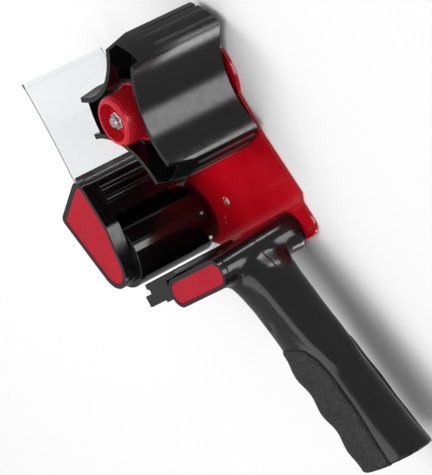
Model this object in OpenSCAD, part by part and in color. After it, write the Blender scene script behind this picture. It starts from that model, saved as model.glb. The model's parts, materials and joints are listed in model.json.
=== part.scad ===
// Hand-held dispenser for packing tape, stored lying on its side plate.
// Origin: the hub axis, at the outer face of the side plate. +Z runs along the hub axis towards
// the open side, +X points back towards the palm, and +Y points up, away from the grip.

/* [Side plate] */
// Thickness of the steel side plate
plate_t = 1.5; // [1:0.1:2.5]
// Radius of the round lobe around the hub axle
plate_lobe_r = 20.3; // [18:0.1:24]
// Radius of the hanging hole
hang_r = 2.45; // [1.5:0.05:4]
// Distance of the hanging hole in front of the hub axis
hang_x = 44; // [38:0.5:48]
// Distance of the hanging hole below the hub axis
hang_y = 55.1; // [50:0.5:60]
// Radius of the pressed locating pip
pip_r = 2.2; // [1:0.1:3]
// Height of the pressed locating pip
pip_h = 0.7; // [0.4:0.1:1]

/* [Tape hub] */
// Radius over the three lobes that carry the tape core
hub_r = 37.7; // [34:0.1:42]
// Length of the hub
hub_len = 49.6; // [46:0.1:54]
// Radius of the lead-in at the open end
hub_lead_r = 34; // [30:0.1:36]
// Length of the lead-in
hub_lead_len = 12; // [6:0.5:16]
// Half of the angle that one lobe covers
lobe_half = 17.5; // [14:0.5:22]
// Radius at the bottom of the hollow between two lobes
hub_dip = 17.6; // [17:0.1:21]
// Angle of the first lobe at rest
hub_turn = 44; // [0:1:119]
// Wall of the hub moulding
hub_wall = 2.4; // [1.6:0.1:3.5]
// Gap between the side plate and the hub
hub_gap = 1.9; // [1.5:0.1:4]
// Depth of the hub web below the open end
hub_recess = 13; // [6:0.5:20]
// Depth of the grip grooves in the lobes
groove_d = 0.9; // [0.4:0.1:1.5]

/* [Hub brake] */
// Radius of the hub axle
axle_r = 4; // [3.5:0.1:5]
// Radius of the threaded end of the axle
thread_r = 3; // [2.5:0.1:3.4]
// Height of the domed end of the axle above the hub's open end
axle_over = 6; // [5:0.1:8]
// Outer radius of the bush that turns on the axle
bush_r = 14.3; // [13.8:0.1:14.6]
// Bore of the spring cup in the bush
cup_r = 12.8; // [12.6:0.1:13.2]
// Depth of the spring cup
cup_depth = 15.4; // [13:0.1:18]
// Distance of the cup's rim below the hub's open end
cup_drop = 7.6; // [6:0.1:10]
// Mean radius of the brake spring
spring_r = 9.4; // [8.5:0.1:10]
// Wire radius of the brake spring
spring_wire = 0.65; // [0.5:0.05:0.8]
// Turns of the brake spring
spring_turns = 5; // [3:1:6]
// Radius of the tension knob over its ribs
knob_r = 12.2; // [11:0.1:12.5]
// Length of the tension knob
knob_len = 14.6; // [12:0.1:18]
// Number of ribs around the knob
knob_ribs = 56; // [36:2:72]
// Radius of the recess in the knob's face
knob_cup_r = 9.4; // [8.5:0.1:10]
// Depth of the recess in the knob's face
knob_cup_d = 6; // [4:0.5:8]

/* [Roller] */
// Outer radius of the roller sleeve
roller_r = 17.5; // [15:0.1:20]
// Length of the roller
roller_len = 44.3; // [40:0.1:48]
// Distance of the roller axis in front of the hub axis
roller_x = 75.9; // [72:0.1:84]
// Distance of the roller axis below the hub axis
roller_y = 53.8; // [50:0.1:56]
// Gap between the side plate and the roller
roller_gap = 4.2; // [3:0.1:6]
// Wall of the roller sleeve
sleeve_wall = 3; // [2:0.1:4]
// Radius of the roller axle
pin_r = 3; // [2.5:0.1:4]

/* [Cutting head] */
// Wall of the head casing
head_wall = 2.5; // [1.8:0.1:3.5]
// Thickness of the casing's open-side cheek
cheek_t = 3; // [2:0.1:4]
// Depth of the side cover
cover_h = 4.4; // [4:0.1:7]
// Width of the raised border around the cover's panel
cover_rim = 2.6; // [1.5:0.1:4]
// Thickness of the coloured panels
panel_t = 0.8; // [0.5:0.1:1.2]
// Thickness of the blade
blade_t = 0.8; // [0.5:0.1:1.2]
// Length of the blade along the tape's width
blade_w = 45; // [40:0.5:46]
// Pitch of the blade's teeth
tooth_pitch = 2.5; // [1.5:0.1:4]
// Height of the blade's teeth
tooth_h = 2.2; // [1:0.1:3]

/* [Hold-down flap] */
// Width of the clear flap
flap_w = 47.4; // [40:0.1:48]
// Length of the clear flap from its root bead
flap_len = 55; // [30:0.5:60]
// Thickness of the clear flap
flap_t = 0.8; // [0.5:0.1:1]
// Radius of the bead along the flap's root
bead_r = 1.3; // [1.1:0.05:1.5]

/* [Handle] */
// Distance of the handle bar below the hub axis
bar_drop = 82; // [80:0.5:90]
// Radius of the handle bar at the side plate
bar_r = 10; // [9:0.1:11]
// Radius of the handle bar at its open end
bar_end_r = 7.4; // [6.5:0.1:8]
// Length of the handle bar along the hub axis
bar_len = 46; // [42:0.1:48]
// Thickness of the end cap
cap_t = 2.5; // [2:0.1:4]
// Rake of the grip
rake = 17.5; // [8:0.5:22]
// Length of the grip from the bar
grip_len = 117.5; // [100:1:130]
// Half of the grip's depth at mid length
grip_a = 17.6; // [15:0.1:20]
// Half of the grip's thickness at mid length
grip_b = 13; // [12:0.1:14]
// Wall of the handle mouldings
shell_wall = 2.5; // [1.8:0.1:3]
// Thickness of the soft grip pad
pad_t = 0.7; // [0.6:0.1:2]
// Height of the finger waves on the pad
wave_h = 1.2; // [0.4:0.1:2]

/* [Screws] */
// Radius of the screw shanks
screw_r = 1.5; // [1.2:0.05:1.8]
// Radius of the screw heads
screw_head_r = 2.8; // [2.4:0.1:3.2]
// Radial clearance of shafts and screws
clear = 0.05; // [0.02:0.01:0.08]

/* [Hidden] */
$fn = 64;
eps = 0.01;
hub_z = plate_t + hub_gap;
hub_top = hub_z + hub_len;
cup_top = hub_top - cup_drop;
cup_floor = cup_top - cup_depth;
brake_washer_t = 1;
knob_z = cup_top - 1;
spring_z0 = cup_floor + brake_washer_t;
spring_z1 = knob_z - brake_washer_t;
axle_top = hub_top + axle_over;
flange_r = 7;
flange_t = hub_gap - 0.6;
nut_t = 6.5;
nut_r = 4.6;
nut_out = 3.8;
nut_z = knob_z + knob_len - knob_cup_d - nut_t + nut_out;
groove_w = 1.7;
groove_steps = [-10, 1, 10];
pip_at = [-hang_x - 9.7, -hang_y - 7.1];

roller_at = [-roller_x, -roller_y];
roller_z = plate_t + roller_gap;
roller_top = roller_z + roller_len;
cheek_z = roller_top + 0.6;
cover_z = cheek_z + cheek_t;
head_top_z = cover_z + cover_h;
cover_skin = 1.9;
top_c = roller_at + [8.9, 34.3];
front_c = roller_at + [-17.6, 27];
back_c = roller_at + [7.9, 13.8];
low_c = roller_at + [2.3, -3.2];
top_cr = 6.2;
front_cr = 3.2;
back_cr = 9.9;
low_cr = 11.8;
head_inset = 0.6;
roller_room = 1.2;
rib_r = 2;
rib_at = [[16, 31.3], [16.4, 26.3]];

// The casing's sloping top wall: its angle, and the point above the front corner
slope_gap = norm(top_c - front_c);
slope = atan2(top_c.y - front_c.y, top_c.x - front_c.x) + asin((top_cr - front_cr) / slope_gap);
slope_at = front_c + (front_cr - head_inset) * [-sin(slope), cos(slope)];
blade_back = 11;
blade_tip = 4.4;
blade_z = cheek_z - 0.8 - blade_w;
bead_at = roller_at + [0.4, 39.6];
bead_x = (bead_at - slope_at) * [cos(slope), sin(slope)];
bead_y = (bead_at - slope_at) * [-sin(slope), cos(slope)];
clamp_x = bead_x - 7.5;
clamp_w = 11.5;
clamp_t = bead_y + bead_r + 0.5;
clamp_screw_x = clamp_x + 3.2;
blade_screw_x = 4;
strip_screw_z = [14, 42];
flap_swing = 20;
flap_bow = 1.2;
flap_z = cover_z - 0.5 - flap_w;
lip_h = 2.4;
lip_t = 1.6;

bar_at = [-1, -bar_drop];
bar_z = plate_t;
bar_top = bar_z + bar_len;
split_z = bar_z + 25.25;
grip_back = -2.2;
grip_round = 0.86;
pad_steps = 18;
wave_pitch = 0.185;
pad_gap = 0.3;
bar_front = [-37, 0];
end_back = [3.1, -1.1];
end_front = [-38.6, -1.1];
guide_top = -(roller_y + roller_r + 1);
guide_x = -69;
guide_z0 = 4;
guide_z1 = 49;
guide_step_z = 13;
arm_t = 3;
tab_t = 5;
tab_z = guide_z1 - tab_t;
tab_gap = 0.3;
tab_back = 13;
tab_drop = 12.5;
stop_len = 20;
stop_h = 6;
stop_drop = 11.3;
cap_front = bar_at.x + end_front.x - bar_end_r;
boss_r = 4;
boss_h = bar_len - 6;
boss_web = 1.6;
head_boss_r = 3.6;
head_boss_h = 14;
head_screw_len = 10;
cover_boss_r = 3.4;
cover_boss_h = 8;
cover_post_r = 3.2;
cover_screw_len = 10;
handle_screw_len = 36;
join_hole = 30;

// Head screw places, handle screw places, and the two halves' screw places
head_screw_at = [top_c, front_c + [5.5, -0.7]];
handle_screw_at = [bar_at, bar_at + [-33, 0]];
join_s = [38, 84];
join_seat = 7;
join_h = 23.4;
cover_screw_at = [top_c + [-1, -1], front_c + [5.5, -1.2]];

// Points along an arc, a point turned about the origin, and the hub's outline
function arc(c, r, a0, a1, n) = [for (i = [0:n]) let (a = a0 + (a1 - a0) * i / n) c + r * [cos(a), sin(a)]];

function turn(p, a) = [p.x * cos(a) - p.y * sin(a), p.x * sin(a) + p.y * cos(a)];

// Hollow between two lobes, from one lobe's edge to the next, about the hollow's own middle line
function hollow(r, half, dip, n) =
    let (g = 60 - half, cx = (r * r - dip * dip) / (2 * (r * cos(g) - dip)), rho = cx - dip,
        phi = asin(r * sin(g) / rho))
    [for (i = [0:n]) [cx - rho * cos(phi * (2 * i / n - 1)), rho * sin(phi * (2 * i / n - 1))]];

function three_lobes(r, half, dip) = [for (k = [0:2]) each concat(
    arc([0, 0], r, 120 * k - half, 120 * k + half, 8),
    [for (p = hollow(r, half, dip, 20)) turn(p, 120 * k + 60)])];

// Rings of a sweep joined into a closed solid; a ring that isn't convex is a strip of two equal sides
module sweep(rings, convex = true) {
    n = len(rings[0]);
    m = len(rings);
    cap = convex ? [for (i = [1:n - 2]) [0, i, i + 1]]
        : [for (i = [0:n / 2 - 2]) each [[i, i + 1, n - 2 - i], [i, n - 2 - i, n - 1 - i]]];
    polyhedron(points = [for (ring = rings) each ring],
        faces = concat(
            cap,
            [for (j = [0:m - 2]) for (i = [0:n - 1]) each [
                [j * n + i, (j + 1) * n + i, (j + 1) * n + (i + 1) % n],
                [j * n + i, (j + 1) * n + (i + 1) % n, j * n + (i + 1) % n]]],
            [for (f = cap) [for (v = [2:-1:0]) (m - 1) * n + f[v]]]));
}

// Countersunk screw with its head's flat face at z = 0, pointing up
module sunk_screw(length, extra = 0) {
    cylinder(r1 = screw_head_r + extra, r2 = screw_r + extra, h = plate_t);
    cylinder(r = screw_r + extra, h = length);
}

// Pan-head screw with the underside of its head at z = 0, pointing down
module pan_screw(length) {
    cylinder(r = screw_head_r, h = 1.3);
    translate([0, 0, -length]) cylinder(r = screw_r, h = length + eps);
}

module plate_outline() {
    polygon(concat(
        arc([0, 0], plate_lobe_r, -46, 150, 28),
        arc(top_c, top_cr, 82, 90 + slope, 4),
        arc(front_c, front_cr, 90 + slope, 196, 8),
        arc(low_c, low_cr, 196, 236, 6),
        [[-69, guide_top - 0.4], [-47, -bar_drop - 6.6]],
        arc([13.5, -bar_drop - 0.3], 6.3, -90, 0, 8),
        [[18.1, -bar_drop + 9.5], [21.1, -bar_drop + 13.5], [15.4, -36.9]]));
}

module side_plate() {
    color("firebrick") {
        difference() {
            linear_extrude(plate_t) plate_outline();
            translate([0, 0, -eps]) cylinder(r = axle_r + clear, h = plate_t + 2 * eps);
            translate([-hang_x, -hang_y, -eps]) cylinder(r = hang_r, h = plate_t + 2 * eps);
            translate([roller_at.x, roller_at.y, -eps]) cylinder(r = pin_r + clear, h = plate_t + 2 * eps);
            for (p = concat(head_screw_at, handle_screw_at))
                translate([p.x, p.y, -eps]) sunk_screw(plate_t + 2 * eps, clear);
        }
        translate([pip_at.x, pip_at.y, plate_t - eps])
            cylinder(r1 = pip_r, r2 = pip_r - 0.6, h = pip_h + eps);
    }
}

module hub_axle() {
    color("silver") {
        cylinder(r = axle_r, h = cup_floor + brake_washer_t);
        translate([0, 0, plate_t]) cylinder(r = flange_r, h = flange_t);
        cylinder(r = thread_r, h = axle_top - 1);
        translate([0, 0, axle_top - 1]) cylinder(r1 = thread_r, r2 = thread_r - 0.8, h = 1);
    }
}

module friction_washer() {
    color("saddlebrown") translate([0, 0, plate_t + flange_t]) difference() {
        cylinder(r = bush_r - 1.5, h = hub_gap - flange_t - 0.1);
        translate([0, 0, -eps]) cylinder(r = axle_r + clear, h = hub_gap);
    }
}

module hub_inside() polygon(three_lobes(hub_r - hub_wall, lobe_half - 4, hub_dip - hub_wall));

module hub_pockets(depth) {
    linear_extrude(depth) difference() {
        hub_inside();
        circle(r = bush_r + hub_wall);
    }
}

module hub_core() {
    color([0.1, 0.1, 0.11]) rotate([0, 0, hub_turn]) translate([0, 0, hub_z]) difference() {
        intersection() {
            linear_extrude(hub_len) polygon(three_lobes(hub_r + 0.6, lobe_half, hub_dip));
            union() {
                cylinder(r = hub_r, h = hub_len - hub_lead_len);
                translate([0, 0, hub_len - hub_lead_len])
                    cylinder(r1 = hub_r, r2 = hub_lead_r, h = hub_lead_len);
            }
        }
        translate([0, 0, -eps]) cylinder(r = bush_r, h = hub_len + 2 * eps);
        translate([0, 0, hub_len - hub_recess]) hub_pockets(hub_recess + 1);
        translate([0, 0, hub_len - cup_drop]) linear_extrude(cup_drop + 1) hub_inside();
        translate([0, 0, -1]) hub_pockets(hub_len - hub_recess - hub_wall + 1);
        for (k = [0:2]) for (a = groove_steps) rotate([0, 0, 120 * k + a])
            translate([hub_r - groove_d, -groove_w / 2, -1])
                cube([groove_d + 1, groove_w, hub_len - hub_lead_len - 3]);
    }
}

module hub_bush() {
    color("crimson") difference() {
        translate([0, 0, hub_z]) cylinder(r = bush_r, h = cup_top - hub_z);
        translate([0, 0, cup_floor]) cylinder(r = cup_r, h = cup_depth + 1);
        translate([0, 0, hub_z - 1]) cylinder(r = axle_r + clear, h = hub_len);
        translate([0, 0, hub_z + 3]) difference() {
            cylinder(r = bush_r - 1.6, h = cup_floor - hub_z - 5);
            translate([0, 0, -1]) cylinder(r = axle_r + 2.2, h = cup_floor);
        }
    }
}

module flat_washer(z) {
    color("silver") translate([0, 0, z]) difference() {
        cylinder(r = spring_r + 1.2, h = brake_washer_t);
        translate([0, 0, -eps]) cylinder(r = axle_r + clear, h = brake_washer_t + 2 * eps);
    }
}

module brake_washer() flat_washer(cup_floor);

module spring_washer() flat_washer(knob_z - brake_washer_t);

module tension_spring() {
    rise = spring_z1 - spring_z0 - 2 * spring_wire;
    steps = 20 * spring_turns;
    color("gainsboro") sweep([for (i = [0:steps])
        let (a = 360 * spring_turns * i / steps)
        [for (j = [0:7]) let (b = -45 * j, r = spring_r + spring_wire * cos(b))
            [r * cos(a), r * sin(a), spring_z0 + spring_wire + rise * i / steps + spring_wire * sin(b)]]]);
}

module tension_knob() {
    rib = 360 / knob_ribs;
    top = knob_z + knob_len;
    color("crimson") difference() {
        union() {
            translate([0, 0, knob_z]) linear_extrude(knob_len - 2.4) polygon([for (i = [0:knob_ribs - 1])
                for (s = [[0, 0.5], [0.25, 0], [0.5, 0], [0.75, 0.5]])
                (knob_r - s[1]) * [cos(rib * (i + s[0])), sin(rib * (i + s[0]))]]);
            translate([0, 0, top - 2.4 - eps]) cylinder(r = knob_r - 0.5, h = 1.4 + eps);
            translate([0, 0, top - 1]) cylinder(r1 = knob_r - 0.5, r2 = knob_r - 1.4, h = 1);
        }
        translate([0, 0, top - knob_cup_d]) cylinder(r = knob_cup_r, h = knob_cup_d + 1);
        translate([0, 0, nut_z]) cylinder(r = nut_r, h = nut_t, $fn = 6);
        translate([0, 0, knob_z - 1]) cylinder(r = thread_r + clear, h = knob_len);
        translate([0, 0, knob_z - 1]) cylinder(r = axle_r + 1, h = 2.5);
    }
}

module knob_nut() {
    color("silver") translate([0, 0, nut_z]) difference() {
        cylinder(r = nut_r, h = nut_t, $fn = 6);
        translate([0, 0, -1]) cylinder(r = thread_r + clear, h = nut_t + 2);
    }
}

module at_roller(z) translate([roller_at.x, roller_at.y, z]) children();

module roller_sleeve() {
    color([0.08, 0.08, 0.09]) at_roller(roller_z) difference() {
        cylinder(r = roller_r, h = roller_len);
        translate([0, 0, -1]) cylinder(r = roller_r - sleeve_wall, h = roller_len + 2);
    }
}

module roller_core() {
    core_r = roller_r - sleeve_wall;
    seat_r = pin_r + 1.6;
    color([0.16, 0.16, 0.17]) at_roller(roller_z) difference() {
        cylinder(r = core_r, h = roller_len);
        for (z = [-1, 3.5]) translate([0, 0, z]) difference() {
            cylinder(r = core_r - 2, h = z < 0 ? 2.5 : roller_len - 7);
            translate([0, 0, -1]) cylinder(r = seat_r + 1.8, h = roller_len);
        }
        translate([0, 0, roller_len - 1.5]) difference() {
            cylinder(r = core_r - 2, h = 3);
            translate([0, 0, -1]) cylinder(r = seat_r + 1.8, h = 5);
        }
        translate([0, 0, -1]) cylinder(r = seat_r, h = roller_len + 2);
    }
}

module roller_bushes() {
    bush_len = 9;
    color("ivory") for (z = [roller_z, roller_top - bush_len]) at_roller(z) difference() {
        cylinder(r = pin_r + 1.6, h = bush_len);
        translate([0, 0, -1]) cylinder(r = pin_r + clear, h = bush_len + 2);
    }
}

module roller_axle() {
    color("silver") {
        at_roller(0) cylinder(r = pin_r, h = cover_z + cover_h - cover_skin - 0.3);
        at_roller(plate_t) cylinder(r = pin_r + 2, h = roller_gap - 0.3);
    }
}

module roller_nut() {
    color("silver") at_roller(cover_z) difference() {
        cylinder(r = pin_r + 2.4, h = cover_h - cover_skin - 0.6, $fn = 6);
        translate([0, 0, -1]) cylinder(r = pin_r + clear, h = cover_h + 1);
    }
}

// Shield-shaped outline that the head's cheek, cover and panel share
module head_outline(inset) {
    hull() {
        translate(top_c) circle(r = top_cr - inset, $fn = 32);
        translate(front_c) circle(r = front_cr - inset, $fn = 32);
        translate(back_c) circle(r = back_cr - inset, $fn = 32);
        translate(low_c) circle(r = low_cr - inset, $fn = 32);
    }
}

// Places children in the casing's sloping top: x up the slope, z out of it, y along the tape's width
module on_slope(x, z) {
    translate([slope_at.x, slope_at.y, z]) rotate([0, 0, slope]) translate([x, 0, 0])
        rotate([-90, 0, 0]) children();
}

module head_casing() {
    channel = cheek_z - plate_t;
    color([0.1, 0.1, 0.11]) difference() {
        union() {
            translate([0, 0, cheek_z]) linear_extrude(cheek_t) head_outline(head_inset);
            translate([0, 0, plate_t]) linear_extrude(channel + eps) difference() {
                union() {
                    head_outline(head_inset);
                    for (p = rib_at) translate(roller_at + p) circle(r = rib_r);
                }
                head_outline(head_inset + head_wall);
                translate(roller_at) circle(r = roller_r + roller_room);
                translate([roller_at.x - 60, roller_at.y - 60]) square([120, 60 + roller_r + 0.4]);
            }
            for (p = head_screw_at) translate([p.x, p.y, plate_t]) cylinder(r = head_boss_r, h = head_boss_h);
            for (p = cover_screw_at) translate([p.x, p.y, cheek_z - cover_boss_h])
                cylinder(r = cover_boss_r, h = cover_boss_h + eps);
        }
        for (p = head_screw_at) translate([p.x, p.y, plate_t - 1])
            cylinder(r = screw_r + clear, h = head_screw_len + 2);
        for (p = cover_screw_at) translate([p.x, p.y, cheek_z - cover_boss_h + 2])
            cylinder(r = screw_r + clear, h = cover_screw_len + 2);
        at_roller(cheek_z - 1) cylinder(r = pin_r + clear, h = cheek_t + 2);
        for (z = strip_screw_z) for (x = [blade_screw_x, clamp_screw_x]) on_slope(x, z) strip_screw_hole();
    }
}

module head_screws() {
    color("silver") for (p = head_screw_at) translate([p.x, p.y, 0]) sunk_screw(head_screw_len);
}

module strip_screw_hole() translate([0, 0, -5]) cylinder(r = screw_r + clear, h = 12);

module blade() {
    teeth = floor(blade_w / tooth_pitch);
    color("gainsboro") difference() {
        translate([slope_at.x, slope_at.y, blade_z]) rotate([0, 0, slope]) rotate([-90, 0, 0])
            translate([0, -blade_w, 0]) linear_extrude(blade_t) polygon(concat(
                [[blade_back, 0], [blade_back, blade_w], [-blade_tip + tooth_h, blade_w]],
                [for (i = [0:teeth - 1]) each [
                    [-blade_tip, blade_w - (i + 0.5) * tooth_pitch],
                    [-blade_tip + tooth_h, blade_w - (i + 1) * tooth_pitch]]],
                [[-blade_tip + tooth_h, 0]]));
        for (z = strip_screw_z) on_slope(blade_screw_x, z) strip_screw_hole();
    }
}

module blade_screws() {
    color("silver") for (z = strip_screw_z) on_slope(blade_screw_x, z)
        translate([0, 0, blade_t]) pan_screw(blade_t + 4);
}

// Sheet that stands up from the bead, bowed a little towards the hub, with a thick top lip
module flap() {
    steps = 12;
    function bow(t) = flap_bow * 4 * t * (1 - t);
    color([0.9, 0.95, 0.97, 0.4]) translate([bead_at.x, bead_at.y, flap_z]) linear_extrude(flap_w) {
        circle(r = bead_r);
        polygon(concat(
            [for (i = [0:steps]) [bow(i / steps) + flap_t / 2, flap_len * i / steps]],
            [for (i = [steps:-1:0]) [bow(i / steps) - flap_t / 2, flap_len * i / steps]]));
        translate([-lip_t / 2, flap_len - lip_h]) square([lip_t, lip_h]);
    }
}

module flap_clamp() {
    slot = flap_t / 2 + 0.2;
    mouth = 6 * tan(flap_swing + 6);
    color([0.1, 0.1, 0.11]) difference() {
        translate([0, 0, flap_z]) linear_extrude(flap_w) difference() {
            translate(slope_at) rotate(slope) translate([clamp_x, 0]) square([clamp_w, clamp_t]);
            translate(bead_at) circle(r = bead_r + clear);
            translate(bead_at) polygon([[-slot, 0], [slot, 0], [slot + mouth, 6], [-slot - mouth, 6]]);
        }
        for (z = strip_screw_z) on_slope(clamp_screw_x, z) strip_screw_hole();
    }
}

module clamp_screws() {
    color("silver") for (z = strip_screw_z) on_slope(clamp_screw_x, z)
        translate([0, 0, clamp_t]) pan_screw(clamp_t + 4);
}

module head_cover() {
    cavity = cover_h - cover_skin;
    color([0.1, 0.1, 0.11]) translate([0, 0, cover_z]) difference() {
        linear_extrude(cover_h) head_outline(0);
        difference() {
            translate([0, 0, -1]) linear_extrude(cavity + 1) head_outline(head_wall);
            for (p = cover_screw_at) translate([p.x, p.y, -1]) cylinder(r = cover_post_r, h = cavity + 1);
        }
        translate([0, 0, cover_h - panel_t]) linear_extrude(panel_t + 1) head_outline(cover_rim);
        for (p = cover_screw_at) translate([p.x, p.y, cover_h - panel_t]) mirror([0, 0, 1])
            sunk_screw(cover_h, clear);
    }
}

module cover_screws() {
    color("silver") for (p = cover_screw_at) translate([p.x, p.y, head_top_z - panel_t]) mirror([0, 0, 1])
        sunk_screw(cover_screw_len);
}

module head_label() {
    color("crimson") translate([0, 0, head_top_z - panel_t]) linear_extrude(panel_t - 0.2)
        head_outline(cover_rim + 0.1);
}

// Handle bar between the side plate and the end cap, and the space inside it
module bar_solid(inset, z0, z1) {
    hull() {
        translate([bar_at.x, bar_at.y, z0]) cylinder(r = bar_r - inset, h = eps, $fn = 32);
        translate([bar_at.x + bar_front.x, bar_at.y, z0])
            cylinder(r = bar_r - 1.5 - inset, h = eps, $fn = 32);
        for (p = [end_back, end_front]) translate([bar_at.x + p.x, bar_at.y + p.y, z1 - eps])
            cylinder(r = bar_end_r - inset, h = eps, $fn = 32);
    }
}

// Half depth and half thickness of the grip at the share t of its length
function half_depth(t) = grip_a * lookup(t, [[0, 0.45], [1 / 15, 0.7], [0.2, 0.84], [1 / 3, 0.87],
    [0.6, 0.98], [13 / 15, 1.0], [1, 1.12]]);
function half_thick(t) = grip_b * lookup(t, [[0, 1.16], [1 / 15, 1.2], [0.2, 0.98], [1 / 3, 0.95],
    [2 / 3, 1], [1, 1.08]]);

// Point of the grip's skin at the share t of its length and the angle a, moved out by out
function grip_point(t, out, a) =
    let (c = cos(a), s = sin(a), x = (half_depth(t) + out) * sign(c) * pow(abs(c), grip_round))
    [x, -grip_len * t - x * tan(rake) * t * t, (half_thick(t) + out) * sign(s) * pow(abs(s), grip_round)];

function grip_ring(t, out) = [for (j = [0:23]) grip_point(t, out, 15 * j)];

// Finger waves round the front, and the strip between the pad's outer and inner faces
function finger_wave(t) = t > 0.97 ? 0 : 0.5 + 0.5 * cos(360 * (t - 0.515) / wave_pitch);
function pad_out(t, h, a) = pad_t + wave_h * finger_wave(t) * lookup(abs(a - 180), [[95, 1], [h, 0]]);
function pad_reach(t) = lookup(t, [[0.4, 80], [0.5, 126], [0.6, 133], [0.75, 133], [1, 122]]);
function pad_ring(t) = let (h = pad_reach(t)) concat(
    [for (j = [0:pad_steps]) let (a = 180 - h + 2 * h * j / pad_steps) grip_point(t, pad_out(t, h, a), a)],
    [for (j = [pad_steps:-1:0]) grip_point(t, pad_gap, 180 - h + 2 * h * j / pad_steps)]);

module at_grip() translate([bar_at.x + grip_back, bar_at.y, split_z]) rotate([0, 0, rake]) children();

module grip_solid(out, first, last) {
    at_grip() sweep([for (i = [first:last]) grip_ring(i / 15, out)]);
}

// Guide strip in front of the bar with its lower ledge and its web down to the bar, then the tab at
// the open end: the lip under the strip, the ear beside the end cap, and the stop that sticks out
module handle_arm() {
    arm_end = bar_at.x + bar_front.x;
    arm_len = arm_end - guide_x;
    tab_end = cap_front - tab_gap;
    difference() {
        union() {
            translate([guide_x, guide_top - arm_t, guide_step_z])
                cube([arm_len, arm_t, guide_z1 - guide_step_z]);
            translate([guide_x, guide_top - arm_t, guide_z0])
                cube([arm_len, arm_t / 2, guide_z1 - guide_z0]);
        }
        translate([0, 0, bar_top]) linear_extrude(cap_t) cap_outline(-tab_gap);
    }
    translate([arm_end - arm_t / 2, bar_at.y, guide_step_z])
        cube([arm_t, guide_top - arm_t / 2 - bar_at.y, bar_top - guide_step_z]);
    translate([guide_x + 2, guide_top - 2 * arm_t, tab_z]) cube([tab_end - guide_x - 2, tab_t, tab_t]);
    translate([guide_x + tab_back, guide_top - tab_drop, tab_z])
        cube([tab_end - guide_x - tab_back, tab_drop - 0.5, tab_t]);
    translate([guide_x - 5, guide_top - stop_drop, tab_z - 2]) cube([stop_len, stop_h, tab_t + 2]);
}

module handle_solid() {
    difference() {
        union() {
            bar_solid(0, bar_z, bar_top);
            grip_solid(0, 0, 15);
            handle_arm();
        }
        bar_solid(shell_wall, bar_z + 3, bar_top + eps);
        grip_solid(-shell_wall, 0, 14);
    }
    for (p = handle_screw_at) translate([p.x, p.y, bar_z]) {
        cylinder(r = boss_r, h = boss_h);
        translate([-boss_web / 2, -bar_end_r, 0]) cube([boss_web, 2 * bar_end_r - 1.1, boss_h]);
    }
    for (s = join_s) at_grip() translate([0, -s, -join_h / 2]) cylinder(r = boss_r, h = join_h);
}

module handle_half(z0, z1) {
    difference() {
        intersection() {
            handle_solid();
            translate([-100, -250, z0]) cube([200, 250, z1 - z0]);
        }
        for (p = handle_screw_at) translate([p.x, p.y, -1])
            cylinder(r = screw_r + clear, h = handle_screw_len + 2);
        for (s = join_s) at_grip() {
            translate([0, -s, -join_hole]) cylinder(r = screw_head_r + 0.3, h = join_hole - join_seat);
            translate([0, -s, -join_hole]) cylinder(r = screw_r + clear, h = join_hole + join_seat + 1);
        }
    }
}

module handle_inner_shell() {
    color([0.1, 0.1, 0.11]) handle_half(bar_z, split_z);
}

module handle_outer_shell() {
    color([0.12, 0.12, 0.13]) handle_half(split_z, guide_z1 + 1);
}

module grip_pad() {
    color([0.2, 0.2, 0.21]) at_grip() sweep([for (i = [12:30]) pad_ring(i / 30)], false);
}

module cap_outline(inset) {
    hull() for (p = [end_back, end_front]) translate(bar_at + p) circle(r = bar_end_r - inset, $fn = 32);
}

module handle_cap() {
    plug = 4;
    color([0.1, 0.1, 0.11]) difference() {
        union() {
            translate([0, 0, bar_top]) linear_extrude(cap_t) cap_outline(0);
            translate([0, 0, bar_top - plug]) linear_extrude(plug + eps) difference() {
                cap_outline(shell_wall + 0.4);
                cap_outline(shell_wall + 1.8);
            }
        }
        translate([0, 0, bar_top + cap_t - panel_t]) linear_extrude(panel_t + 1) cap_outline(2);
    }
}

module handle_label() {
    color("crimson") translate([0, 0, bar_top + cap_t - panel_t]) linear_extrude(panel_t - 0.2)
        cap_outline(2.1);
}

module handle_screws() {
    color("silver") for (p = handle_screw_at) translate([p.x, p.y, 0]) sunk_screw(handle_screw_len);
}

module shell_screws() {
    color("silver") for (s = join_s) at_grip() translate([0, -s, -join_seat]) mirror([0, 0, 1])
        pan_screw(join_seat + 7);
}

side_plate();
hub_axle();
friction_washer();
hub_core();
hub_bush();
brake_washer();
tension_spring();
spring_washer();
tension_knob();
knob_nut();
roller_sleeve();
roller_core();
roller_bushes();
roller_axle();
roller_nut();
head_casing();
head_screws();
blade();
blade_screws();
flap();
flap_clamp();
clamp_screws();
head_cover();
cover_screws();
head_label();
handle_inner_shell();
handle_outer_shell();
grip_pad();
handle_cap();
handle_label();
handle_screws();
shell_screws();
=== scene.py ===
import json
import math
import bmesh
import bpy
from mathutils import Matrix, Vector


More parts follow.
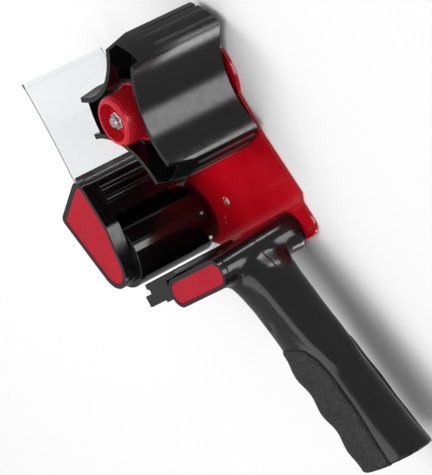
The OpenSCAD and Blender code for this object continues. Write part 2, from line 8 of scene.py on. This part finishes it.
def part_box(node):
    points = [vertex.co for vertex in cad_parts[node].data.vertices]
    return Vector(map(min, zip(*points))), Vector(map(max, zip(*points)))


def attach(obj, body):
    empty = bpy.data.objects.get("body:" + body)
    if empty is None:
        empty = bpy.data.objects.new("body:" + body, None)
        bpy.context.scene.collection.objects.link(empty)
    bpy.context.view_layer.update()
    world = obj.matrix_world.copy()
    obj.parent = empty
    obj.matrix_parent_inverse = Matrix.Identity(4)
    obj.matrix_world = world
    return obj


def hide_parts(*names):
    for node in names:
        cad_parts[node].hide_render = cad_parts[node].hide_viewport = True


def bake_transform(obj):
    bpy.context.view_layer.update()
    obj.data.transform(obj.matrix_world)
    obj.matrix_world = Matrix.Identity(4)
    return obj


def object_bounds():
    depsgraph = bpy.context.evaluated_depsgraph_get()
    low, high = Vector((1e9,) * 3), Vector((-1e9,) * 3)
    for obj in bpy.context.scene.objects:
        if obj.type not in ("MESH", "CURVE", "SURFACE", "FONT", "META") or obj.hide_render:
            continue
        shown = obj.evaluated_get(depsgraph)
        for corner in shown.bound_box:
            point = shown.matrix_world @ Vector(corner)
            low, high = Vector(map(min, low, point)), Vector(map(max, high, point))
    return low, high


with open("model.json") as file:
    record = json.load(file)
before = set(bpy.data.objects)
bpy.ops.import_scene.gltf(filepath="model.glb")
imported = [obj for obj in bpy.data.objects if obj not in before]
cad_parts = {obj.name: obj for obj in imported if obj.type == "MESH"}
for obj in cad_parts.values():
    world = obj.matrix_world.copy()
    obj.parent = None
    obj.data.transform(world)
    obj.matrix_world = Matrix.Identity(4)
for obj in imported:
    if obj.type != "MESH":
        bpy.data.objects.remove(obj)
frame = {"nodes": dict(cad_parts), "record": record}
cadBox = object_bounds()
nodes = frame["nodes"]
mm = 0.001


# camera: its up and backward directions, the point it looks at, metres away, and lens in millimetres
camera = {
    "up": (0.223, 0.883, -0.413),
    "back": (0.880, 0.0, 0.475),
    "aim": (0.0057, -0.0682, 0.0425),
    "distance": 1.164,
    "lens": 128.8,
}

print("camera and room")
lensData = bpy.data.cameras.new("viewCamera")
lensData.sensor_fit = "VERTICAL"
lensData.sensor_height = 24
lensData.lens = camera["lens"]
lensData.clip_start = 0.01
cameraObject = bpy.data.objects.new("viewCamera", lensData)
bpy.context.collection.objects.link(cameraObject)
back = Vector(camera["back"]).normalized()
up = Vector(camera["up"])
up = (up - back * up.dot(back)).normalized()
right = up.cross(back)
place = Vector(camera["aim"]) + back * camera["distance"]
cameraObject.matrix_world = Matrix((
    (right.x, up.x, back.x, place.x),
    (right.y, up.y, back.y, place.y),
    (right.z, up.z, back.z, place.z),
    (0, 0, 0, 1)))
bpy.context.scene.camera = cameraObject
bpy.context.scene.view_settings.view_transform = "Standard"


# room: floor colour, world brightness, and the lamps (name, from, size in metres, watts)
room = {
    "floor": (0.93, 0.93, 0.93),
    "floorGap": 0.0003,       # under the lowest point of the dispenser
    "middle": (-0.02, -0.07, 0.02),
    "world": 0.4,
    "lamps": [
        ("overLamp", (-0.1, 0.0, 1.5), (2.0, 1.6), 16.5),
        ("keyLamp", (-0.35, 0.7, 0.9), (0.3, 0.6), 3.0),
        ("sideLamp", (0.8, -0.55, 0.75), (0.08, 0.7), 1.2),
        # the low ones only show in the gloss of the upright walls: the floor hides them and their light
        ("lowPalmLamp", (0.86, -0.16, -0.48), (0.5, 0.4), 3.6),
        ("lowUnderLamp", (-0.15, -0.87, -0.48), (0.22, 0.4), 1.9),
        ("lowTopLamp", (0.5, 0.72, -0.48), (0.14, 0.4), 1.6),
    ],
}


def lookAt(obj, target):
    way = Vector(target) - obj.location
    obj.rotation_euler = way.to_track_quat("-Z", "Y").to_euler()


def makeRoom():
    world = bpy.data.worlds.new("studioAir")
    world.use_nodes = True
    world.node_tree.nodes["Background"].inputs["Color"].default_value = (1, 1, 1, 1)
    world.node_tree.nodes["Background"].inputs["Strength"].default_value = room["world"]
    bpy.context.scene.world = world
    middle = Vector(room["middle"])
    for name, start, size, watts in room["lamps"]:
        lamp = bpy.data.lights.new(name, "AREA")
        lamp.shape = "RECTANGLE"
        lamp.size, lamp.size_y = size
        lamp.energy = watts
        obj = bpy.data.objects.new(name, lamp)
        obj.location = middle + Vector(start)
        bpy.context.collection.objects.link(obj)
        lookAt(obj, middle)
    bm = bmesh.new()
    bmesh.ops.create_grid(bm, x_segments=8, y_segments=8, size=6)
    bmesh.ops.translate(bm, verts=bm.verts, vec=(0, 0, cadBox[0][2] - room["floorGap"]))
    floorMesh = bpy.data.meshes.new("floor")
    bm.to_mesh(floorMesh)
    bm.free()
    floor = bpy.data.objects.new("floor", floorMesh)
    bpy.context.collection.objects.link(floor)
    paper = bpy.data.materials.new("paleFloor")
    paper.use_nodes = True
    shader = paper.node_tree.nodes["Principled BSDF"]
    shader.inputs["Base Color"].default_value = (*room["floor"], 1)
    shader.inputs["Roughness"].default_value = 0.9
    floorMesh.materials.append(paper)
    floor.visible_glossy = False


makeRoom()


class Paint:
    # small helper round one material's nodes
    def __init__(self, name):
        self.material = bpy.data.materials.new(name)
        self.material.use_nodes = True
        self.tree = self.material.node_tree
        self.shader = self.tree.nodes["Principled BSDF"]
        self.place = self.add("ShaderNodeTexCoord").outputs["Object"]

    def add(self, kind):
        return self.tree.nodes.new(kind)

    def link(self, out, into):
        self.tree.links.new(out, into)

    def stretched(self, scale):
        mapping = self.add("ShaderNodeMapping")
        mapping.inputs["Scale"].default_value = scale
        self.link(self.place, mapping.inputs["Vector"])
        return mapping.outputs["Vector"]

    def noise(self, scale, detail=3, rough=0.5, where=None):
        node = self.add("ShaderNodeTexNoise")
        node.inputs["Scale"].default_value = scale
        node.inputs["Detail"].default_value = detail
        node.inputs["Roughness"].default_value = rough
        self.link(where or self.place, node.inputs["Vector"])
        return node.outputs["Fac"]

    def spread(self, value, low, high, start=0.3, end=0.7):
        node = self.add("ShaderNodeMapRange")
        self.link(value, node.inputs["Value"])
        node.inputs["From Min"].default_value = start
        node.inputs["From Max"].default_value = end
        node.inputs["To Min"].default_value = low
        node.inputs["To Max"].default_value = high
        return node.outputs["Result"]

    def mixColour(self, value, first, second):
        node = self.add("ShaderNodeValToRGB")
        node.color_ramp.elements[0].color = (*first, 1)
        node.color_ramp.elements[1].color = (*second, 1)
        node.color_ramp.elements[0].position = 0.3
        node.color_ramp.elements[1].position = 0.7
        self.link(value, node.inputs["Fac"])
        self.link(node.outputs["Color"], self.shader.inputs["Base Color"])

    def bump(self, value, strength, depth):
        node = self.add("ShaderNodeBump")
        node.inputs["Strength"].default_value = strength
        node.inputs["Distance"].default_value = depth
        self.link(value, node.inputs["Height"])
        self.link(node.outputs["Normal"], self.shader.inputs["Normal"])

    def gloss(self, value, low, high):
        self.link(self.spread(value, low, high), self.shader.inputs["Roughness"])

    def sockets(self, values):
        for key, value in values.items():
            self.shader.inputs[key].default_value = value


def mouldedPlastic(name, dark, light, rough, ripple=0.00003):
    # injection-moulded plastic: faint flow mottling, slightly uneven gloss, a soft ripple
    paint = Paint(name)
    paint.mixColour(paint.noise(90, 4), dark, light)
    paint.gloss(paint.noise(260, 5, 0.6), rough * 0.8, rough * 1.3)
    paint.bump(paint.noise(420, 2), 0.25, ripple)
    return paint.material


def enamel(name, dark, light):
    # sprayed gloss paint on sheet steel, with its orange peel
    paint = Paint(name)
    paint.mixColour(paint.noise(40, 3), dark, light)
    paint.gloss(paint.noise(320, 4), 0.12, 0.2)
    paint.bump(paint.noise(900, 2), 0.3, 0.00002)
    paint.sockets({"Specular IOR Level": 0.25, "Coat Weight": 0.35, "Coat Roughness": 0.04})
    return paint.material


def platedSteel(name, dark, light, rough, along=(60, 60, 60)):
    # bright metal with a fine grain, which along stretches
    paint = Paint(name)
    grain = paint.noise(30, 4, 0.6, paint.stretched(along))
    paint.mixColour(grain, dark, light)
    paint.gloss(grain, rough * 0.7, rough * 1.4)
    paint.bump(grain, 0.2, 0.00001)
    paint.sockets({"Metallic": 1.0})
    return paint.material


def softGrip(name):
    # pebbled elastomer: fine raised cells, with painted shade that darkens the valleys between them
    paint = Paint(name)
    cells = paint.add("ShaderNodeTexVoronoi")
    cells.inputs["Scale"].default_value = 1150
    paint.link(paint.place, cells.inputs["Vector"])
    cellHeightAndPaintedShade = paint.spread(cells.outputs["Distance"], 1.0, 0.0, 0.1, 0.75)
    # painted shade: the colour goes darker towards the cell edges, where the valleys lie
    paint.mixColour(cellHeightAndPaintedShade, (0.003, 0.003, 0.0035), (0.026, 0.026, 0.027))
    paint.gloss(paint.noise(500, 4), 0.5, 0.72)
    paint.bump(cellHeightAndPaintedShade, 0.8, 0.00025)
    paint.sockets({"Specular IOR Level": 0.45})
    return paint.material


def clearSheet(name):
    # clear film, a little cloudy, with a slow ripple
    paint = Paint(name)
    paint.mixColour(paint.noise(25, 2), (0.85, 0.875, 0.88), (0.88, 0.90, 0.905))
    paint.gloss(paint.noise(180, 4), 0.02, 0.06)
    paint.bump(paint.noise(60, 2), 0.1, 0.00002)
    paint.sockets({"Transmission Weight": 1.0, "IOR": 1.46})
    return paint.material


def satinPanel(name, dark, light):
    # laid-in coloured panel with a very fine even grain
    paint = Paint(name)
    paint.mixColour(paint.noise(60, 3), dark, light)
    paint.gloss(paint.noise(200, 3), 0.32, 0.42)
    paint.bump(paint.noise(2600, 2), 0.3, 0.00003)
    paint.sockets({"Specular IOR Level": 0.18})
    return paint.material


print("finishes")
deepBlack = (0.0045, 0.0045, 0.005)
softBlack = (0.008, 0.008, 0.0085)
finish = {
    "red_paint": enamel("redEnamel", (0.50, 0.002, 0.009), (0.58, 0.004, 0.014)),
    "black_gloss": mouldedPlastic("glossBlack", deepBlack, softBlack, 0.2),
    "black_matte": mouldedPlastic("satinBlack", (0.008, 0.008, 0.009), (0.014, 0.014, 0.015), 0.4),
    "roller_black": mouldedPlastic("rollerBlack", deepBlack, softBlack, 0.1, 0.00001),
    "red_plastic": mouldedPlastic("knobRed", (0.55, 0.008, 0.02), (0.66, 0.014, 0.03), 0.24),
    "red_panel": satinPanel("panelRed", (0.40, 0.003, 0.016), (0.46, 0.005, 0.021)),
    "zinc_steel": platedSteel("zincSteel", (0.58, 0.58, 0.57), (0.75, 0.75, 0.74), 0.25),
    "spring_steel": platedSteel("springWire", (0.6, 0.6, 0.6), (0.8, 0.8, 0.79), 0.18),
    "blade_steel": platedSteel("groundSteel", (0.55, 0.55, 0.57), (0.74, 0.74, 0.76), 0.22, (400, 400, 12)),
    "fibre": mouldedPlastic("pressedFibre", (0.16, 0.08, 0.04), (0.24, 0.13, 0.07), 0.7, 0.0001),
    "nylon": mouldedPlastic("paleNylon", (0.66, 0.64, 0.56), (0.74, 0.72, 0.64), 0.4),
    "clear_film": clearSheet("clearFlap"),
    "soft_grip": softGrip("pebbledGrip"),
}
slotOf = {part["node"]: part["material_slot"] for part in frame["record"]["subparts"]}
for name, obj in nodes.items():
    obj.data.materials.clear()
    obj.data.materials.append(finish[slotOf[name]])


def newPiece(name, verts, faces, material):
    # smooth-shaded piece from points in millimetres
    data = bpy.data.meshes.new(name)
    data.from_pydata([v * mm for v in verts], [], faces)
    data.materials.append(material)
    obj = bpy.data.objects.new(name, data)
    bpy.context.collection.objects.link(obj)
    shadeSmooth(data)
    return obj


def shadeSmooth(data):
    for face in data.polygons:
        face.use_smooth = True


def outward(obj):
    # turns all faces outwards
    bm = bmesh.new()
    bm.from_mesh(obj.data)
    bmesh.ops.recalc_face_normals(bm, faces=bm.faces)
    bm.to_mesh(obj.data)
    bm.free()


def soften(bm, verts, turns):
    # eases the points towards their neighbours
    for turn in range(turns):
        bmesh.ops.smooth_vert(bm, verts=verts, factor=0.5, use_axis_x=True, use_axis_y=True, use_axis_z=True)


def finishPiece(obj, stands=None):
    # rides on the frame, and stands for a CAD node
    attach(obj, "frame")
    if stands:
        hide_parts(stands)


def loft(rings, closed=True):
    # skins a list of equal rings; closed adds a flat face at each end
    count = len(rings[0])
    verts = [p for ring in rings for p in ring]
    faces = []
    for j in range(len(rings) - 1):
        for i in range(count):
            k = (i + 1) % count
            faces.append((j * count + i, j * count + k, (j + 1) * count + k, (j + 1) * count + i))
    if closed:
        faces.append(tuple(reversed(range(count))))
        faces.append(tuple(range((len(rings) - 1) * count, len(rings) * count)))
    return verts, faces


def between(table, t):
    # smooth reading of (place, value) pairs
    if t <= table[0][0]:
        return table[0][1]
    for (t0, v0), (t1, v1) in zip(table, table[1:]):
        if t <= t1:
            s = (t - t0) / (t1 - t0)
            s = s * s * (3 - 2 * s) * 0.5 + s * 0.5
            return v0 + (v1 - v0) * s
    return table[-1][1]


def applyAll(obj):
    # makes the modifiers' result the mesh
    bpy.context.view_layer.update()
    graph = bpy.context.evaluated_depsgraph_get()
    mesh = bpy.data.meshes.new_from_object(obj.evaluated_get(graph))
    obj.modifiers.clear()
    obj.data = mesh


# handle: the bar across the plate, and the raked grip, as one flowing moulding in two halves
handle = {
    "barNear": [(-1.0, -82.0, 10.0), (-38.0, -82.0, 8.5)],     # x, y, radius at the plate
    "barFar": [(2.1, -83.1, 7.4), (-39.6, -83.1, 7.4)],        # the same at the open end
    "gripTop": (-3.2, -82.0, 26.75),
    "rake": 17.5,
    "length": 117.5,
    "capThick": 2.5,
    # half sizes of the grip, and degrees round it where the crease runs, at shares of its length
    "depth": [
        (0, 8.6), (0.067, 12.4), (0.13, 14.4), (0.2, 14.9),
        (0.333, 15.3), (0.6, 17.2), (0.867, 17.6), (1, 19.7)],
    "thick": [
        (0, 17.4), (0.067, 16.6), (0.13, 14.0), (0.2, 12.75),
        (0.333, 12.35), (0.667, 13.0), (0.9, 13.4), (1, 14.0)],
    "roundness": 0.86,
    "ridge": [(0.05, 60), (0.18, 54), (0.36, 51), (0.46, 44), (0.53, 34), (0.6, 20), (0.68, 8)],
    "ridgeHeight": 1.1,
    "ridgeWide": (9.0, 26.0),  # degrees: steep on the pad's side, broad on the palm's
    "ridgeStart": (0.04, 0.12),  # share where it starts, and over which it grows
    "ridgeEnd": (0.7, 0.16),   # share where it ends, and over which it fades
    "dimple": {"angle": 100, "wide": 10, "at": 0.3, "long": 0.022, "deep": 0.9},
    "screwDown": [38, 84],     # places of the pockets down the grip
    "screwSeat": 7,
    "screwRoom": 3.1,
    "voxel": 0.75,
    # regions that are softened: low corner, high corner, turns; the second is the skin all over
    "soften": [((-24, -102, 4), (18, -83, 46.5), 26), ((-500, -500, 2.2), (500, 500, 46.9), 9)],
}
rake = math.radians(handle["rake"])


def gripPoint(t, angle, out):
    a = math.radians(angle)
    c, s = math.cos(a), math.sin(a)
    deep = between(handle["depth"], t) + out
    wide = between(handle["thick"], t) + out
    power = handle["roundness"]
    x = deep * math.copysign(abs(c) ** power, c)
    z = wide * math.copysign(abs(s) ** power, s)
    y = -handle["length"] * t - x * math.tan(rake) * t * t
    top = handle["gripTop"]
    return Vector((
        top[0] + x * math.cos(rake) - y * math.sin(rake),
        top[1] + x * math.sin(rake) + y * math.cos(rake),
        top[2] + z))


def ridgeOut(t, angle):
    # raised crease that runs from the neck, beside the pad, and turns towards the palm
    steep, broad = handle["ridgeWide"]
    start, grow = handle["ridgeStart"]
    end, die = handle["ridgeEnd"]
    fade = min(1, max(0, (t - start) / grow)) * min(1, max(0, (end - t) / die))
    best = 0.0
    for side in (1, -1):
        middle = side * between(handle["ridge"], t)
        gap = (angle - middle + 180) % 360 - 180
        width = steep if gap * side > 0 else broad
        best = max(best, fade * math.exp(-(gap / width) ** 2))
    return handle["ridgeHeight"] * best


def neckDimple(t, angle):
    # small oval hollow at the side of the neck
    dimple = handle["dimple"]
    gap = ((angle - dimple["angle"] + 180) % 360 - 180) / dimple["wide"]
    return -dimple["deep"] * math.exp(-gap * gap - ((t - dimple["at"]) / dimple["long"]) ** 2)


def capsule(ends, z, count=64):
    # outline round two circles, as the hull of both
    (x0, y0, r0), (x1, y1, r1) = ends
    ring = []
    for i in range(count):
        a = 2 * math.pi * i / count
        c, s = math.cos(a), math.sin(a)
        x, y, r = (x0, y0, r0) if c > 0 else (x1, y1, r1)
        ring.append(Vector((x + r * c, y + r * s, z)))
    return ring


def makeHandle():
    # both skins are joined by a voxel remesh, softened, drilled and cut in two
    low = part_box("handle_inner_shell")[0].z / mm
    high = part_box("handle_cap")[1].z / mm - handle["capThick"]
    split = handle["gripTop"][2]
    rings, count = [], 30
    for i in range(count + 1):
        z = low + (high - low) * i / count
        share = (z - low) / (high - low)
        ends = [tuple(p + (q - p) * share for p, q in zip(near, far))
                for near, far in zip(handle["barNear"], handle["barFar"])]
        rings.append(capsule(ends, z))
    bar = newPiece("handleBar", *loft(rings), finish["black_gloss"])
    rings, count, sides = [], 100, 80
    for i in range(count + 1):
        t = i / count
        angles = [360 * a / sides for a in range(sides)]
        rings.append([gripPoint(t, a, ridgeOut(t, a) + neckDimple(t, a)) for a in angles])
    verts, faces = loft(rings)
    grip = newPiece("handleGrip", verts, [tuple(reversed(f)) for f in faces], finish["black_gloss"])
    bm = bmesh.new()
    bm.from_mesh(bar.data)
    bm.from_mesh(grip.data)
    bmesh.ops.recalc_face_normals(bm, faces=bm.faces)
    bm.to_mesh(bar.data)
    bm.free()
    bpy.data.objects.remove(grip)
    remesh = bar.modifiers.new("joinSkins", "REMESH")
    remesh.mode = "VOXEL"
    remesh.voxel_size = handle["voxel"] * mm
    remesh.use_smooth_shade = True
    applyAll(bar)
    softenHandle(bar)
    recessScrews(bar)
    # two halves, each a closed solid, that meet in the middle plane
    for name, side, stands in (
            ("handleInnerBody", -1, "handle_inner_shell"),
            ("handleOuterBody", 1, "handle_outer_shell")):
        half = bar.copy()
        half.data = bar.data.copy()
        half.name = name
        bpy.context.collection.objects.link(half)
        bm = bmesh.new()
        bm.from_mesh(half.data)
        bmesh.ops.bisect_plane(
            bm, geom=bm.verts[:] + bm.edges[:] + bm.faces[:], dist=1e-7,
            plane_co=(0, 0, split * mm), plane_no=(0, 0, 1),
            clear_inner=side > 0, clear_outer=side < 0)
        edges = [e for e in bm.edges if e.is_boundary]
        bmesh.ops.holes_fill(bm, edges=edges, sides=0)
        bmesh.ops.triangulate(bm, faces=[f for f in bm.faces if len(f.verts) > 4])
        bm.to_mesh(half.data)
        bm.free()
        for face in half.data.polygons:
            face.use_smooth = abs(face.normal.z) < 0.999 or abs(face.center.z - split * mm) > 0.2 * mm
        finishPiece(half, stands)
        print(name, len(half.data.vertices), "points")
    bpy.data.objects.remove(bar)


def recessScrews(obj):
    # round pockets on the plate's side, down to the heads of the screws that hold the halves
    bm = bmesh.new()
    top = Vector(handle["gripTop"])
    seat, room = handle["screwSeat"], handle["screwRoom"] * mm
    deep = seat + 30
    for down in handle["screwDown"]:
        middle = top + Vector((down * math.sin(rake), -down * math.cos(rake), -seat - deep / 2))
        bmesh.ops.create_cone(
            bm, cap_ends=True, segments=40, radius1=room, radius2=room,
            depth=deep * mm, matrix=Matrix.Translation(middle * mm))
    drillMesh = bpy.data.meshes.new("drill")
    bm.to_mesh(drillMesh)
    bm.free()
    drill = bpy.data.objects.new("drill", drillMesh)
    bpy.context.collection.objects.link(drill)
    cut = obj.modifiers.new("screwPockets", "BOOLEAN")
    cut.operation = "DIFFERENCE"
    cut.object = drill
    applyAll(obj)
    bpy.data.objects.remove(drill)


def softenHandle(obj):
    # rounds the inside corner where the grip leaves the bar, and takes the voxel steps off everywhere
    bm = bmesh.new()
    bm.from_mesh(obj.data)
    for low, high, turns in handle["soften"]:
        near = [v for v in bm.verts if all(a < p < b for a, p, b in zip(low, v.co / mm, high))]
        soften(bm, near, turns)
    bm.to_mesh(obj.data)
    bm.free()
    shadeSmooth(obj.data)


# pad: soft strip round the front of the grip, with waves for the fingers; reach is in degrees from
# the front, and places are shares of the grip's length
pad = {
    "start": 0.398,
    "reach": [(0.395, 66), (0.42, 88), (0.47, 120), (0.53, 131), (0.62, 134), (0.75, 133), (1, 122)],
    "thick": 0.75,
    "proud": 0.05,
    "under": 0.6,             # how far it is let into the grip
    "waveHeight": 1.25,
    "wavePitch": 0.185,
    "waveCrest": 0.515,
    "waveEnd": 0.985,
    "waveSide": 0.3,          # share of the half width over which a wave dies out
    "edgeRound": 14,          # sharpness of the rolled edge
}


def fingerWave(t):
    # 0 to 1 along the pad, flat at its end
    if t > pad["waveEnd"]:
        return 0.0
    return 0.5 + 0.5 * math.cos(2 * math.pi * (t - pad["waveCrest"]) / pad["wavePitch"])


def makePad():
    steps, across = 120, 48
    start = pad["start"]
    rings = []
    for i in range(steps + 1):
        t = start + (1.0 - start) * i / steps
        reach = between(pad["reach"], t)
        outer, inner = [], []
        for j in range(across + 1):
            share = j / across * 2 - 1
            angle = 180 + reach * share
            edge = min(1, (1 - abs(share)) * pad["edgeRound"]) ** 0.5
            tip = min(1, i / 3, (steps - i) / 2) ** 0.5
            wave = fingerWave(t) * min(1, max(0, (1 - abs(share)) / pad["waveSide"]))
            lift = (pad["thick"] + pad["waveHeight"] * wave) * edge * tip
            outer.append(gripPoint(t, angle, lift + pad["proud"]))
            inner.append(gripPoint(t, angle, -pad["under"]))
        rings.append(outer + inner[::-1])
    verts, faces = loft(rings, closed=False)
    count = len(rings[0])
    last = (len(rings) - 1) * count
    for i in range(count // 2 - 1):
        a, b, c, d = i, i + 1, count - 2 - i, count - 1 - i
        faces.append((d, c, b, a))
        faces.append((last + a, last + b, last + c, last + d))
    strip = newPiece("gripPad", verts, faces, finish["soft_grip"])
    outward(strip)
    finishPiece(strip, "grip_pad")


# arm: the guide strip in front of the bar, with its ledge, web, tab and stop
arm = {
    "blocks": [  # low corner, high corner, millimetres
        ((-69, -75.3, 13), (-36, -72.3, 49)),
        ((-69, -75.3, 4), (-36, -73.8, 49)),
        ((-67, -78.3, 44), (-47.2, -73.3, 49)),
        ((-56, -84.8, 44), (-47.2, -72.8, 49)),
        ((-74, -83.6, 42), (-54, -77.6, 49)),
        ((-52, -77, 8), (-44, -73, 44)),
    ],
    "ribs": [-64, -58],      # places along x of the stiffening ribs underneath
    "ribWide": 0.9,
    "ribLow": (-78.2, 14),
    "ribHigh": (-74, 44.5),
    "voxel": 0.35,
    "turns": 3,
    "keepFaces": 0.25,
}


def blockInto(bm, low, high):
    made = bmesh.ops.create_cube(bm, size=1)["verts"]
    size = [(b - a) * mm for a, b in zip(low, high)]
    bmesh.ops.scale(bm, verts=made, vec=size)
    bmesh.ops.translate(bm, verts=made, vec=[(a + b) / 2 * mm for a, b in zip(low, high)])


def makeArm():
    bm = bmesh.new()
    for low, high in arm["blocks"]:
        blockInto(bm, low, high)
    half = arm["ribWide"] / 2
    for x in arm["ribs"]:
        blockInto(bm, (x - half, *arm["ribLow"]), (x + half, *arm["ribHigh"]))
    data = bpy.data.meshes.new("handleArm")
    bm.to_mesh(data)
    bm.free()
    data.materials.append(finish["black_gloss"])
    obj = bpy.data.objects.new("handleArm", data)
    bpy.context.collection.objects.link(obj)
    remesh = obj.modifiers.new("oneSkin", "REMESH")
    remesh.mode = "VOXEL"
    remesh.voxel_size = arm["voxel"] * mm
    applyAll(obj)
    bm = bmesh.new()
    bm.from_mesh(obj.data)
    soften(bm, bm.verts, arm["turns"])
    bm.to_mesh(obj.data)
    bm.free()
    thin = obj.modifiers.new("fewerFaces", "DECIMATE")
    thin.ratio = arm["keepFaces"]
    applyAll(obj)
    shadeSmooth(obj.data)
    finishPiece(obj)


print("handle")
makeHandle()
makePad()
makeArm()


# brake spring: round wire with a half turn lying flat at each end, built at one fixed length; the real one
# shortens as the knob comes down
spring = {
    "radius": 9.4,
    "wire": 0.65,
    "turns": 5,
    "flat": 0.5,
    "sides": 12,
}


def makeSpring():
    low, high = (corner.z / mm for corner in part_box("tension_spring"))
    steps, sides, wire = spring["turns"] * 36, spring["sides"], spring["wire"]
    rings = []
    for i in range(steps + 1):
        turn = spring["turns"] * i / steps
        share = (turn - spring["flat"]) / (spring["turns"] - 2 * spring["flat"])
        middle = low + wire + (high - low - 2 * wire) * min(1, max(0, share))
        a = 2 * math.pi * turn
        ring = []
        for j in range(sides):
            b = -2 * math.pi * j / sides
            r = spring["radius"] + wire * math.cos(b)
            ring.append(Vector((r * math.cos(a), r * math.sin(a), middle + wire * math.sin(b))))
        rings.append(ring)
    coil = newPiece("brakeSpring", *loft(rings), finish["spring_steel"])
    outward(coil)
    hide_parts("tension_spring")
    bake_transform(coil)


print("spring")
makeSpring()


# rounded edges on the mouldings and metal parts that show, in millimetres; angles in degrees
edgeAngle = 38
wallAngle = 22
edgeRound = {
    "side_plate": 0.25, "hub_core": 0.55, "hub_bush": 0.3, "hub_axle": 0.15,
    "tension_knob": 0.15, "knob_nut": 0.25, "roller_sleeve": 0.5, "roller_core": 0.3,
    "head_casing": 0.35, "head_cover": 0.5, "head_label": 0.12, "handle_cap": 0.4,
    "handle_label": 0.12, "flap_clamp": 0.3, "blade": 0.05,
}


def smoothGroup(angle):
    # shades curved walls smooth and keeps the edges sharper than the angle
    group = bpy.data.node_groups.new("smoothWalls", "GeometryNodeTree")
    for side in ("INPUT", "OUTPUT"):
        group.interface.new_socket("Geometry", in_out=side, socket_type="NodeSocketGeometry")
    start = group.nodes.new("NodeGroupInput")
    joined = group.nodes.new("GeometryNodeMergeByDistance")
    joined.inputs["Distance"].default_value = 0.000002
    plain = group.nodes.new("GeometryNodeRemoveAttribute")
    plain.inputs["Name"].default_value = "custom_normal"
    end = group.nodes.new("NodeGroupOutput")
    walls = group.nodes.new("GeometryNodeSetShadeSmooth")
    edges = group.nodes.new("GeometryNodeSetShadeSmooth")
    edges.domain = "EDGE"
    edges.inputs["Shade Smooth"].default_value = False
    bend = group.nodes.new("GeometryNodeInputMeshEdgeAngle")
    sharp = group.nodes.new("FunctionNodeCompare")
    sharp.operation = "GREATER_THAN"
    sharp.inputs["B"].default_value = math.radians(angle)
    group.links.new(start.outputs["Geometry"], joined.inputs["Geometry"])
    group.links.new(joined.outputs["Geometry"], plain.inputs["Geometry"])
    group.links.new(plain.outputs["Geometry"], walls.inputs["Geometry"])
    group.links.new(walls.outputs["Geometry"], edges.inputs["Geometry"])
    group.links.new(bend.outputs["Unsigned Angle"], sharp.inputs["A"])
    group.links.new(sharp.outputs["Result"], edges.inputs["Selection"])
    group.links.new(edges.outputs["Geometry"], end.inputs["Geometry"])
    return group


def roundEdges():
    smoothWalls = smoothGroup(wallAngle)
    for name, width in edgeRound.items():
        smooth = nodes[name].modifiers.new("smoothWalls", "NODES")
        smooth.node_group = smoothWalls
        bevel = nodes[name].modifiers.new("edgeRound", "BEVEL")
        bevel.width = width * mm
        bevel.segments = 2
        bevel.limit_method = "ANGLE"
        bevel.angle_limit = math.radians(edgeAngle)
        bevel.harden_normals = True
        bevel.use_clamp_overlap = True


roundEdges()
print("rounded", len(edgeRound), "pieces")
